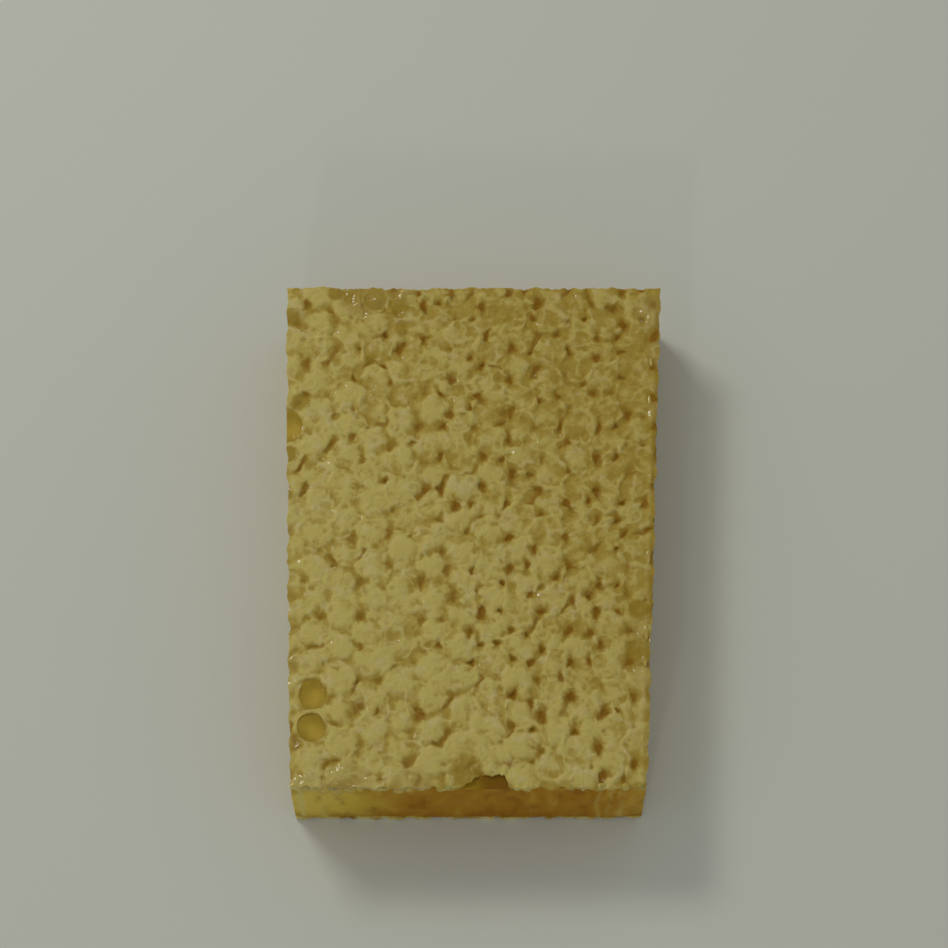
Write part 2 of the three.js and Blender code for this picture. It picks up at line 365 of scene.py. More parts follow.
class Paint:
    """One material in the making. Every node but the shader itself comes from node()."""

    def __init__(self, name):
        self.material = bpy.data.materials.new(name)
        self.material.use_nodes = True
        self.tree = self.material.node_tree
        self.shader = self.tree.nodes["Principled BSDF"]
        self.place = self.node("ShaderNodeTexCoord", {}, {}).outputs["Object"]

    def node(self, kind, settings, values):
        made = self.tree.nodes.new(kind)
        for key, value in settings.items():
            setattr(made, key, value)
        for key, value in values.items():
            self.feed(made.inputs[key], value)
        return made

    def feed(self, socket, value):
        if isinstance(value, Signal):
            value = value.socket
        if isinstance(value, bpy.types.NodeSocket):
            self.tree.links.new(value, socket)
        elif hasattr(value, "__len__") and len(socket.default_value) == 4 and len(value) == 3:
            socket.default_value = (*value, 1.0)
        else:
            socket.default_value = value

    def axis(self, letter):
        node = self.node("ShaderNodeSeparateXYZ", {}, {0: self.place})
        return Signal(self, node.outputs[letter])

    def attribute(self, name):
        return Signal(self, self.node("ShaderNodeAttribute", {"attribute_name": name}, {}).outputs["Fac"])

    def noise(self, size, detail=2.0, roughness=0.5, stretch=(1, 1, 1), shift=(0, 0, 0)):
        """Soft noise from 0 to 1 whose lumps measure about one size, given in metres."""
        spot = self.node("ShaderNodeMapping", {}, {"Vector": self.place, "Scale": stretch, "Location": shift})
        node = self.node("ShaderNodeTexNoise", {}, {"Vector": spot.outputs[0], "Scale": 1 / size,
                                                    "Detail": detail, "Roughness": roughness})
        return Signal(self, node.outputs["Fac"])

    def blob(self, spot, radius, soft):
        """1 inside a round spot of the surface and 0 outside it."""
        gap = self.node("ShaderNodeVectorMath", {"operation": "DISTANCE"}, {0: self.place, 1: spot})
        return Signal(self, gap.outputs["Value"]).between(radius + soft, radius - soft)

    def blend(self, mask, low, high):
        """A colour that goes from low to high as the mask goes from 0 to 1."""
        node = self.node("ShaderNodeMix", {"data_type": "RGBA"}, {0: mask, 6: low, 7: high})
        return node.outputs[2]

    def bump(self, height, distance, strength=1.0, under=None):
        values = {"Height": height, "Distance": distance, "Strength": strength}
        if under is not None:
            values["Normal"] = under
        return self.node("ShaderNodeBump", {}, values).outputs[0]

    def set(self, **values):
        for key, value in values.items():
            self.feed(self.shader.inputs[key.replace("_", " ")], value)


def wear(piece, material):
    piece.data.materials.clear()
    piece.data.materials.append(material)
    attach(piece, "root")


# ---------------------------------------------------------------- materials

def ready_made(name, make):
    """The material of that name, made when it is first asked for."""
    return bpy.data.materials.get(name) or make()


def wax_material():
    """Pale beeswax on its ridges, yellow between them and amber where honey shows through, with painted shade
    that darkens it towards the far right and in the crescent grooves.
    """
    colours = comb_settings()
    paint = Paint("beeswax capping")
    relief = paint.attribute("relief")
    pit = paint.attribute("pit")
    seep = paint.attribute("seep")
    patches = paint.noise(9 * MM, 2)
    mottle = paint.noise(1.3 * MM, 3, 0.6)
    grain = paint.noise(0.3 * MM, 2)
    crinkle = paint.noise(0.7 * MM, 2)
    wobble = paint.noise(2.6 * MM, 2)
    # Painted shade: the wax turns darker and more amber towards the far right, mixed below with random
    # patches of tone.
    diagonal = paint.axis("X") + paint.axis("Y") * 0.6
    painted_shade_right = diagonal.between(-20 * MM, 40 * MM)
    tone_and_shade = painted_shade_right * 0.2 + (patches - 0.5) * 0.25 + (paint.noise(3.6 * MM, 2) - 0.5) * 0.25
    curl = paint.noise(3.1 * MM, 1.6) - 0.5
    veins = curl.size().between(0.1, 0)
    veins = veins * veins * (3.0 - veins * 2.0) * (paint.noise(5.5 * MM, 2).between(0.36, 0.6) * 0.75 + 0.25)
    ridge = (relief - tone_and_shade + veins * 0.28 + (mottle - 0.5) * 0.5 + (crinkle - 0.5) * 0.2).between(-0.24, 0.2)
    chalk = paint.blend(paint.noise(2.1 * MM, 2).between(0.5, 0.7) * 0.6, colours.wax_pale, colours.wax_chalk)
    # Painted shade towards the far right, in the colour of soaked wax.
    wax = paint.blend(painted_shade_right * 0.22, paint.blend(ridge, colours.wax_yellow, chalk), colours.wax_soaked_and_shade)
    amber = (relief - tone_and_shade * 0.5 + (mottle - 0.5) * 0.12).between(-0.16, -0.5) * 0.6
    # Amber in the pits, and painted shade in the crescent grooves on the lumps' right sides, which the pit
    # attribute carries too.
    amber = amber.larger((pit + (mottle - 0.5) * 0.6).between(0.2, 0.8))
    wax = paint.blend(amber * 0.9, wax, colours.wax_pit)
    soaked = (seep * 0.8 + (wobble - 0.5) * 1.3 + (mottle - 0.5) * 0.8).between(0.2, 0.95)
    wax = paint.blend(soaked * 0.85, wax, colours.wax_soaked_and_shade)
    wet = wet_zones(paint, mottle)
    wax = paint.blend(wet * 0.3, wax, colours.wax_yellow)
    glints = paint.noise(1.1 * MM, 1, 0.5, (1, 1, 1), (0.3, 0.1, 0)).between(0.65, 0.71)
    wet = wet.larger((soaked - 0.4) * 0.8).larger(glints * 0.9)
    paint.set(Base_Color=wax, Roughness=0.6 - wet * 0.5, Coat_Weight=wet * 0.55, Coat_Roughness=0.05,
              Subsurface_Weight=0.45, Subsurface_Scale=0.5 * MM, Subsurface_Radius=(1.0, 0.7, 0.3),
              Specular_IOR_Level=0.08)
    fine = paint.bump(grain, 0.05 * MM, 0.7)
    fine = paint.bump(veins, 0.2 * MM, 0.5, fine)
    paint.set(Normal=paint.bump(crinkle, 0.15 * MM, 0.7, fine))
    return paint.material


# Where honey has wetted the capping: place and radius, in mm.
WET_SPOTS = [
    ((-19.5, -42.9), 4.2), ((-9.5, -42.9), 3.2), ((-26.5, -42.4), 1.8), ((-18.5, 41.3), 4.0),
    ((-11.5, 41.5), 2.2), ((29.0, 38.6), 3.0), ((28.0, -17.5), 3.2), ((27.0, -24.5), 2.6),
    ((30.2, 31.0), 2.4), ((30.2, 20.5), 2.2), ((-28.9, -22.5), 1.6), ((-29.9, 5.0), 1.5),
    ((26.0, -35.1), 1.6), ((-27.8, -35.5), 1.2),
]


def wet_zones(paint, mottle):
    """1 where honey lies on the wax, in ragged spots."""
    blobs = (paint.blob((x * MM, y * MM, CAP_TOP), radius * MM, 1.0 * MM) for (x, y), radius in WET_SPOTS)
    return (largest(blobs) + (mottle - 0.5) * 1.2).between(0.45, 0.75)


def wall_material():
    """The thin walls between cells: pale where dry, yellow where honey has soaked them."""
    colours = comb_settings()
    paint = Paint("beeswax walls")
    stain = paint.noise(2.2 * MM, 3)
    wax = paint.blend(stain.between(0.35, 0.65), colours.wax_pale, colours.wax_yellow)
    paint.set(Base_Color=wax, Roughness=0.32, Subsurface_Weight=0.3, Subsurface_Scale=0.5 * MM,
              Subsurface_Radius=(1.0, 0.8, 0.5))
    paint.set(Normal=paint.bump(paint.noise(0.4 * MM, 2), 0.06 * MM, 0.6))
    return paint.material


def honey_material():
    """Amber honey, lighter and darker from cell to cell, with a wet surface; in the open cells on top it has
    painted shade towards the rims and a painted lighter middle towards the near right.
    """
    colours = comb_settings()
    paint = Paint("amber honey")
    cloudy = paint.noise(5 * MM, 2)
    streaks = paint.noise(1.1 * MM, 2, 0.5, (1, 1, 0.2))
    tint = paint.attribute("tone") * 0.36 + (cloudy - 0.5) * 0.6 + (streaks - 0.5) * 0.4 + 0.42
    gold = paint.blend(tint.between(0, 1), colours.honey_dark, colours.honey_light)
    # Painted light and shade in the open cells: a lighter middle set towards the near right and darker honey
    # towards the rims, mixed with random tone.
    middles = largest(
        paint.blob((spot.x + OPEN_SHIFT + 0.2 * MM, spot.y - 0.4 * MM, OPEN_TOP), 1.3 * MM, 1.0 * MM)
        for spot in OPEN_CELLS)
    light = middles * 0.4 + (paint.noise(2.2 * MM, 2) - 0.5) * 0.8 + 0.3
    open_cell_painted_shade = paint.blend(light.between(0, 1), colours.wax_soaked_and_shade, colours.honey_light)
    gold = paint.blend(paint.axis("Z").between(16.2 * MM, 16.8 * MM), gold, open_cell_painted_shade)
    paint.set(Base_Color=gold, Roughness=0.12, Subsurface_Weight=0.35, Subsurface_Scale=0.6 * MM,
              Subsurface_Radius=(1.0, 0.7, 0.35), Specular_IOR_Level=0.28)
    paint.set(Normal=paint.bump(paint.noise(1.2 * MM, 2), 0.3 * MM, 0.7))
    return paint.material


# Pale runs down the film: place along the cut in mm, half width in mm, strength.
PALE_RUNS = [(-27.1, 0.3, 0.8), (-23.6, 0.25, 0.5), (19.4, 0.2, 0.25), (21.2, 0.25, 0.3), (23.1, 0.3, 0.3)]


def film_material():
    """The honey that has run down over the near cut: greenish gold at its left end, brown amber beyond."""
    colours = comb_settings()
    paint = Paint("honey film")
    streaks = paint.noise(1.4 * MM, 3, 0.55, (1, 1, 0.12))
    murk = paint.noise(2.8 * MM, 3, 0.5, (1, 1, 0.5))
    clouds = paint.noise(7 * MM, 2)
    along = paint.axis("X") + (clouds - 0.5) * (9 * MM)
    colour = paint.blend(along.between(-27 * MM, -18 * MM), colours.film_gold, colours.honey_light)
    colour = paint.blend(along.between(-21 * MM, -10 * MM) * 0.85, colour, colours.honey_dark)
    colour = paint.blend(along.between(20 * MM, 28 * MM) * 0.3, colour, colours.film_gold)
    colour = paint.blend((streaks - 0.5).between(0.0, 0.2) * 0.3, colour, colours.honey_light)
    height = paint.axis("Z") + (clouds - 0.5) * (6 * MM)
    colour = paint.blend(height.between(6 * MM, 0) * 0.5, colour, colours.honey_deep)
    colour = paint.blend(murk.between(0.45, 0.75) * 0.6, colour, colours.honey_deep)
    colour = paint.blend(murk.between(0.45, 0.25) * 0.35, colour, colours.honey_light)
    murky = paint.axis("X") + (paint.noise(2.5 * MM, 2) - 0.5) * (3 * MM)
    brown = paint.blend(murky.between(-1.5 * MM, 2.8 * MM), colours.wax_soaked_and_shade, colours.notch_honey)
    colour = paint.blend(paint.axis("Z").between(16.4 * MM, 16.8 * MM), colour, brown)
    sway = paint.axis("X") + (paint.noise(3 * MM, 2) - 0.5) * (2.4 * MM)
    for x, half, share in PALE_RUNS:
        streak = (sway - x * MM).size().between((half + 0.5) * MM, 0) * share * streaks.between(0.3, 0.6)
        colour = paint.blend(streak, colour, colours.wax_pale)
    paint.set(Base_Color=colour, Roughness=0.2, Subsurface_Weight=0.5, Subsurface_Scale=0.5 * MM,
              Subsurface_Radius=(1.0, 0.5, 0.12), Specular_IOR_Level=0.0,
              Coat_Weight=0.2, Coat_IOR=1.25, Coat_Roughness=0.06)
    paint.set(Normal=paint.bump(streaks, 0.15 * MM, 0.35))
    return paint.material


def bead_material():
    """Clear pale honey in beads along the lip."""
    colours = comb_settings()
    paint = Paint("clear honey beads")
    milky = paint.noise(1.5 * MM, 2).between(0.4, 0.6) * 0.7
    pale = paint.blend(milky, colours.bead_honey, colours.wax_yellow)
    lying = paint.axis("Z").between(16.9 * MM, 17.0 * MM)
    paint.set(Base_Color=paint.blend(lying, colours.bead_gold, pale), Roughness=0.2,
              Subsurface_Weight=0.4, Subsurface_Scale=0.3 * MM, Subsurface_Radius=(1.0, 0.7, 0.2),
              Specular_IOR_Level=0.05, Coat_Weight=lying * 0.7 + 0.2, Coat_IOR=1.5, Coat_Roughness=0.03)
    paint.set(Normal=paint.bump(paint.noise(0.9 * MM, 2), 0.15 * MM, 0.5))
    return paint.material


# ---------------------------------------------------------------- settings

def colour_property(name, place, value):
    return FloatVectorProperty(name=name, description="Colour of the " + place, subtype="COLOR",
                               default=value, size=3)


class CombSettings(bpy.types.PropertyGroup):
    """Sizes and colours of the comb piece."""

    cell_pitch: FloatProperty(
        name="Cell Pitch", description="Distance between two opposite walls of a cell",
        default=5.4 * MM, unit="LENGTH", precision=5)
    relief_seed: IntProperty(
        name="Relief Seed", description="Draws the sizes of caps and pits", default=7)
    wax_pale: colour_property("Pale Wax", "thick, dry wax", (0.70, 0.58, 0.168))
    wax_chalk: colour_property("Chalky Wax", "driest spots on the ridges", (0.75, 0.62, 0.28))
    wax_yellow: colour_property("Yellow Wax", "thin wax over honey", (0.515, 0.366, 0.066))
    wax_pit: colour_property("Pit Wax", "bottoms of the pits between caps", (0.32, 0.15, 0.007))
    # This colour also serves as painted shade towards the far right of the cappings and at the rims of the
    # open cells.
    wax_soaked_and_shade: colour_property("Soaked Wax", "wax where honey stands on it", (0.42, 0.275, 0.02))
    honey_light: colour_property("Light Honey", "honey where it is thin", (0.64, 0.45, 0.055))
    honey_dark: colour_property("Dark Honey", "honey where it is deep", (0.39, 0.157, 0.004))
    honey_deep: colour_property("Deep Honey", "honey low on the near cut", (0.25, 0.09, 0.003))
    film_gold: colour_property("Film Gold", "honey film where wax shines through", (0.72, 0.53, 0.085))
    notch_honey: colour_property("Notch Honey", "honey in the notch of the lip", (0.27, 0.135, 0.012))
    bead_gold: colour_property("Bead Gold", "drops that hang below the lip", (0.62, 0.45, 0.076))
    bead_honey: colour_property("Bead Honey", "small beads along the lip", (0.66, 0.51, 0.11))


# ---------------------------------------------------------------- the cappings

# Heights of the cappings: where the relief starts from, its back, and the mean of its surface.
CAP_GROOVE = 17.15 * MM
CAP_FLOOR = 16.3 * MM
CAP_TOP = 17.4 * MM
# The highest that honey may stand in an open cell, and the height its colour is centred on.
OPEN_LEVEL = 17.1 * MM
OPEN_TOP = 17 * MM
BASE_TOP = 1.1 * MM
BASE_GROOVE = 0.4 * MM
# Relief that comes within a ledge's height of the back is pressed level.
LEDGE = 0.12 * MM
CAP_INSETS = (0.3 * MM, 0.35 * MM, 0.3 * MM, 0.3 * MM)
BORDER = 1.5 * MM

# Dents and bulges of this piece: place, reach and rise, in mm.
SWELLINGS = [
    ((-1.4, -40.6), 3.0, -0.25), ((28.6, 38.6), 3.6, 0.25), ((26.0, -35.1), 2.8, 0.3),
    ((26.0, -35.1), 1.1, -0.22), ((-16.4, 40.6), 2.6, 0.3), ((-20.7, 40.5), 2.2, -0.3),
    ((-28.1, 22.1), 1.8, -0.25), ((-25.4, -28.0), 4.5, -0.08), ((-25.4, -33.4), 4.5, -0.08),
]
# Where honey stands in or under the wax: place in mm, radius in mm.
SEEPS = [
    ((-25.05, -28.0), 2.45), ((-25.05, -33.4), 2.45), ((-1.4, -40.6), 2.8), ((25.9, -13.8), 1.8),
    ((25.8, -20.5), 2.0), ((-19.6, 41.6), 2.0), ((-16.4, 40.8), 2.3), ((-12.4, 39.5), 2.0),
    ((-30.1, 37.4), 1.8), ((-22.8, 41.8), 1.4), ((-28.1, 22.1), 1.7), ((-30.0, 12.9), 1.5),
    ((-11.9, 35.2), 1.4), ((-17.0, 30.0), 1.2), ((-30.0, 6.0), 1.2),
]
# The notch in the near lip: its middle, half its width, its depth, and how far it slopes out to the
# left, in halves of its width.
NOTCH_X = 3.2 * MM
NOTCH_HALF = 2.0 * MM
NOTCH_DEPTH = 2.1 * MM
NOTCH_SLOPE = 2.4

# The rim of the burst bubble at the far left: place, radius, in mm.
BUBBLE = (-16.2, 40.4, 2.0)
# Looks that a capped cell can have: the part of the cells up to which it is drawn, and in mm the
# shoulder's width and height and the middle's height.
LUMPY_CAPS = [(0.35, 0.6, 0.08, 0.1), (0.7, 0.5, 0.12, -0.06), (1.0, 0.7, -0.06, 0.08)]
SUNKEN_CAPS = [(0.45, 0.6, -0.14, 0.04), (0.8, 0.45, -0.12, 0.14), (1.0, 0.7, -0.03, -0.1)]
DOME_HEIGHT = 0.55 * MM
PIT_DEPTH = 0.42 * MM
# No pit comes closer than this to an uncapped cell.
PIT_CLEARANCE = 3.4 * MM
CRUMBS = 26
HOLLOW_DEPTH = 0.2 * MM
CRESCENT_SHARE = 0.3


def fade(gap, outer, inner):
    """1 up to the inner distance, then falling smoothly to 0 at the outer one."""
    part = np.clip((outer - gap) / (outer - inner), 0, 1)
    return part * part * (3 - 2 * part)


def draw_looks(count, looks, seed):
    """For each of a number of things, the place of its look in the list, drawn by the shares."""
    draw = random.Random(seed)
    return np.array([next(k for k, look in enumerate(looks) if value <= look[0])
                     for value in (draw.random() for _ in range(count))])


def wall_distance(dx, dy):
    """How far a place is from a cell's centre, measured so that the cell's walls are all equally far."""
    slant = math.sqrt(0.75) * dx
    return np.maximum(abs(dy), np.maximum(abs(slant + dy / 2), abs(slant - dy / 2)))


def nearest_cells(points, anchor):
    """The centre of the cell that each place lies in, and the place's distance from it in walls."""
    pitch = comb_settings().cell_pitch
    column = pitch * math.sqrt(3)
    best, gap = None, None
    for shift in (0.0, 0.5):
        x = anchor.x + column * (np.round((points[:, 0] - anchor.x) / column - shift) + shift)
        y = anchor.y + pitch * (np.round((points[:, 1] - anchor.y) / pitch - shift) + shift)
        far = far_from(points, (x, y))
        centres = np.stack([x, y], axis=1)
        best = centres if best is None else np.where((far < gap)[:, None], centres, best)
        gap = far if gap is None else np.minimum(far, gap)
    return best, wall_distance(*(points[:, :2] - best).T)


def all_cells(sheet, anchor):
    return np.unique(np.round(nearest_cells(places(sheet, "FACE"), anchor)[0], 6), axis=0)


def lumpy_cells(cells, seed):
    """Marks the cells towards the near left, where the caps stand up as lumps."""
    draw = random.Random(seed)
    return np.array([x + 0.35 * y < draw.uniform(-14, 4) * MM for x, y in cells])


def near_any(points, spots, reach):
    mask = np.zeros(len(points), dtype=bool)
    for spot in spots:
        mask |= far_from(points, spot) < reach
    return mask


def press(sheet, name, weights, rise):
    """Raise or sink the surface by a share of some height, given for each vertex."""
    group = weight_group(sheet, name, weights)
    apply_modifier(sheet, "DISPLACE", strength=rise, mid_level=0, direction="Z", vertex_group=group)
    return group


def soften(sheet, name, weights, rounds):
    """Even out the heights of the surface, by a share given for each vertex."""
    group = weight_group(sheet, name, weights)
    apply_modifier(sheet, "SMOOTH", factor=0.6, iterations=rounds, vertex_group=group, use_x=False,
                   use_y=False)


def press_pits(sheet, anchor, seed, spared):
    """Sink a leaning, oval pit by the right corner of each cell, with a softer hollow around it."""
    points = places(sheet)
    cells = all_cells(sheet, anchor)
    lumpy = lumpy_cells(cells, seed + 50)
    side = comb_settings().cell_pitch / math.sqrt(3)
    draw = random.Random(seed)
    pits = np.zeros(len(points))
    hollows = np.zeros(len(points))
    corners = [(*(cell + (side, 0)), raised, 1.0) for cell, raised in zip(cells, lumpy)]
    corners += [(*(cell - (side, 0)), raised, 0.72) for cell, raised in zip(cells, lumpy)
                if draw.random() < 0.55]
    for x, y, raised, size in corners:
        x += draw.gauss(0, 0.3) * MM
        y += draw.gauss(0, 0.4) * MM
        across = draw.uniform(0.5, 0.8) * size * MM
        along = across * draw.uniform(1.15, 2.1)
        lean = draw.gauss(0.3, 0.4)
        strength = draw.choice((0.5, 0.8, 1.0, 1.0, 1.0, 1.0))
        if raised:
            strength *= draw.choice((0.1, 0.2, 0.7))
        if near_any(np.array([[x, y]]), spared, PIT_CLEARANCE)[0]:
            continue
        dx = points[:, 0] - x
        dy = points[:, 1] - y
        over = (dx * math.cos(lean) - dy * math.sin(lean)) / across
        up = (dx * math.sin(lean) + dy * math.cos(lean)) / along
        turn = np.arctan2(up, over)
        ragged = 0.16 * np.sin(3 * turn + draw.uniform(0, 6)) + 0.08 * np.sin(7 * up + 5 * over)
        gap = np.hypot(over, up) * (1 + ragged)
        pits = np.maximum(pits, strength * fade(gap, 1.45, 0.1))
        hollows = np.maximum(hollows, strength * fade(gap, 2.8, 0.7))
    press(sheet, "hollows", hollows, -HOLLOW_DEPTH)
    press(sheet, "pits", pits, -PIT_DEPTH)
    return np.maximum(pits, 0.35 * hollows)


def press_crescents(sheet, anchor, seed):
    """Deepen the groove along the right side of some of the lumps, and return the grooves, into which the
    capping also paints shade.
    """
    points = places(sheet)
    cells = all_cells(sheet, anchor)
    half = comb_settings().cell_pitch / 2
    draw = random.Random(seed)
    grooves = np.zeros(len(points))
    for (x, y), raised in zip(cells, lumpy_cells(cells, seed + 50)):
        share = draw.random()
        middle = draw.gauss(-15, 30)
        spread = draw.uniform(25, 60)
        width = draw.uniform(0.45, 0.7) * MM
        if share > CRESCENT_SHARE * (1.0 if raised else 0.3):
            continue
        dx = points[:, 0] - x
        dy = points[:, 1] - y
        off = abs(wall_distance(dx, dy) - half) / width
        turn = abs(np.degrees(np.arctan2(dy, dx)) - middle)
        grooves = np.maximum(grooves, fade(off, 1.3, 0.2) * fade(turn, spread, spread * 0.4))
    press(sheet, "crescents", grooves, -0.28 * MM)
    return grooves


def raise_caps(sheet, anchor, seed):
    """Give every cell a shoulder and a middle: lumps towards the near left, hollows elsewhere."""
    centres = all_cells(sheet, anchor)
    lumpy = lumpy_cells(centres, seed + 50)
    for caps, cells in ((LUMPY_CAPS, centres[lumpy]), (SUNKEN_CAPS, centres[~lumpy])):
        looks = draw_looks(len(cells), caps, seed)
        for k, (_, width, shoulder, middle) in enumerate(caps):
            for thickness, depth in ((width, shoulder), (0.75, middle)):
                choose(sheet, near_any(places(sheet, "FACE"), cells[looks == k], 0.35 * MM))
                bpy.ops.mesh.inset(thickness=thickness * MM, depth=depth * MM, use_individual=True)
                leave(sheet)


def raise_domes(sheet, anchor, seed):
    """Swell the lumps into round caps, each of its own height, and the other cells a little."""
    points = places(sheet)
    cells = all_cells(sheet, anchor)
    draw = random.Random(seed)
    domes = np.zeros(len(points))
    for (x, y), raised in zip(cells, lumpy_cells(cells, seed + 47)):
        height = draw.uniform(0.25, 1.0) if raised else draw.uniform(0.0, 0.5)
        reach = draw.uniform(2.6, 3.8) * MM
        gap = np.hypot(points[:, 0] - x - draw.gauss(0, 0.35) * MM,
                       points[:, 1] - y - draw.gauss(0, 0.35) * MM)
        domes = np.maximum(domes, height * np.clip(1 - (gap / reach) ** 2, 0, 1))
    press(sheet, "domes", domes, DOME_HEIGHT)
    return domes


def ridge_rims(sheet, anchor, domes):
    """Lift most walls between cells into narrow ridges and leave some as grooves."""
    off = abs(nearest_cells(places(sheet), anchor)[1] - comb_settings().cell_pitch / 2)
    domes_around = np.clip(neighbour_mean(sheet.data, domes, 40), 0, 1)
    rims = weight_group(sheet, "rims", fade(off, 0.7 * MM, 0.05 * MM) * (1 - 0.6 * domes_around))
    rumple(sheet, cloud_texture("rim heights", 2.6 * MM), 0.75 * MM, group=rims, middle=0.36)


def uncap(sheet, spots):
    """Leave the wax off the cells at some spots, inside a round rim."""
    for spot in spots:
        choose(sheet, near_any(places(sheet, "FACE"), [spot], 0.6 * MM))
        bpy.ops.mesh.inset(thickness=0.1 * MM, depth=0, use_individual=True)
        bpy.ops.transform.tosphere(value=0.6)
        bpy.ops.mesh.inset(thickness=0.26 * MM, depth=-0.22 * MM, use_individual=True)
        bpy.ops.transform.resize(value=(0.88, 0.98, 1), center_override=(*spot, CAP_GROOVE))
        bpy.ops.transform.translate(value=(OPEN_SHIFT, 0, 0))
        bpy.ops.mesh.delete(type="FACE")
        leave(sheet)


def tear_notch(sheet):
    """Break a piece out of the near edge."""
    centres = places(sheet, "FACE")
    across = (centres[:, 0] - NOTCH_X) / NOTCH_HALF
    jag = 0.08 * np.sin(centres[:, 0] / (0.6 * MM)) + 0.04 * np.sin(centres[:, 0] / (0.25 * MM))
    outline = np.where(across > 0, 1.05 - 0.6 * across ** 4 - 0.12 * across, 1.05 - 0.16 * across ** 2) + jag
    inside = centres[:, 1] < NEAR_Y + NOTCH_DEPTH * outline
    remove_faces(sheet, inside & (across > -NOTCH_SLOPE) & (across < 1))
    edit(sheet, "VERT")
    select_rims()
    leave(sheet)
    edge = np.empty(len(sheet.data.vertices), dtype=bool)
    sheet.data.vertices.foreach_get("select", edge)
    points = places(sheet)
    across = (points[:, 0] - NOTCH_X) / NOTCH_HALF
    near = (across > -NOTCH_SLOPE - 0.3) & (across < 1.3) & (points[:, 1] < NEAR_Y + 1.6 * NOTCH_DEPTH)
    choose(sheet, edge & near & (points[:, 1] > NEAR_Y + 0.2 * MM), "VERT")
    bpy.ops.mesh.vertices_smooth(factor=0.6, repeat=4)
    leave(sheet)


def right_rim(points):
    """How far each place lies inside the right cut."""
    return -beyond_side(points, *slab_sides(0)[1])


def crumble_border(sheet):
    """Smear the relief along the cuts, as a warm knife does, and let the edges wander."""
    cut_to_slab(sheet, CAP_INSETS)
    points = places(sheet)
    share = 1 + (beyond_slab(points) + CAP_INSETS[0]) / BORDER
    soften(sheet, "border", np.maximum(share, fade(right_rim(points), 3.0 * MM, 1.8 * MM)), 14)
    slope = press(sheet, "slope", share, -0.18 * MM)
    press(sheet, "rolled rim", fade(abs(right_rim(points) - 1.2 * MM), 0.7 * MM, 0), 0.16 * MM)
    crumbs = cloud_texture("crumbling edge", 1.9 * MM, 2)
    rumple(sheet, crumbs, 1.0 * MM, "X", slope)
    crumbs.noise_scale = 1.4 * MM
    rumple(sheet, crumbs, 1.0 * MM, "Y", slope)
    cut_to_slab(sheet, (0.03 * MM,) * 4)


def mark_wax(sheet):
    """Store how far each vertex stands above its surroundings, in mm, and where honey has seeped."""
    points = places(sheet)
    level = neighbour_mean(sheet.data, points[:, 2].copy(), 200)
    paint_attribute(sheet, "relief", (points[:, 2] - level) / MM)
    seep = 0.55 * fade(right_rim(points), 2.4 * MM, 0.6 * MM)
    for spot, radius in SEEPS:
        gap = far_from(points / MM, spot) / radius
        seep = np.maximum(seep, np.clip(2.5 - 2.0 * gap, 0, 1.4))
    paint_attribute(sheet, "seep", seep)


def back_up(sheet, floor):
    """Store what the material reads, then give the open relief its rims and a flat back."""
    choose(sheet, places(sheet)[:, 2] < floor + LEDGE, "VERT")
    flatten(floor + LEDGE)
    leave(sheet)
    mark_wax(sheet)
    edit(sheet, "EDGE")
    select_rims()
    bpy.ops.mesh.extrude_edges_move(TRANSFORM_OT_translate={"value": (0, 0, -0.2 * MM)})
    flatten(floor)
    bpy.ops.mesh.fill(use_beauty=False)
    bpy.ops.mesh.select_all(action="SELECT")
    bpy.ops.mesh.normals_make_consistent(inside=False)
    leave(sheet)


def smooth(obj, degrees=50):
    activate(obj)
    bpy.ops.object.shade_smooth_by_angle(angle=math.radians(degrees))


def join(pieces, name):
    deselect()
    for piece in pieces:
        piece.select_set(True)
    bpy.context.view_layer.objects.active = pieces[0]
    bpy.ops.object.join()
    pieces[0].name = name
    return pieces[0]


def drop(spot, halves, segments=24):
    """A rounded drop; its place and half sizes in mm."""
    deselect()
    bpy.ops.mesh.primitive_uv_sphere_add(segments=segments, ring_count=segments * 2 // 3, radius=1,
                                         location=[x * MM for x in spot])
    return settle([half * MM for half in halves])


def hang_crumbs(sheet, seed):
    """Add the crumbs of wax that the knife left under the near lip, none of them at the notch."""
    draw = random.Random(seed)
    crumbs = []
    while len(crumbs) < CRUMBS:
        x = draw.uniform(-28, 26.2)
        if not -NOTCH_SLOPE - 0.2 < (x - NOTCH_X / MM) / (NOTCH_HALF / MM) < 1.1:
            crumbs.append(drop((x, NEAR_Y / MM + 0.6, draw.uniform(16.0, 16.6)),
                               (draw.uniform(0.4, 1.1), 0.5, draw.uniform(0.5, 1.1)), 15))
    crumbs = join(crumbs, "crumbs")
    rumple(crumbs, cloud_texture("crumbs", 1.1 * MM), 0.35 * MM, "X")
    rumple(crumbs, cloud_texture("crumbs", 0.9 * MM), 0.3 * MM, "Z")
    paint_attribute(crumbs, "pit", np.zeros(len(crumbs.data.vertices)))
    cut_to_slab(crumbs, (0.06 * MM,) * 4, True)
    return join([sheet, crumbs], sheet.name)


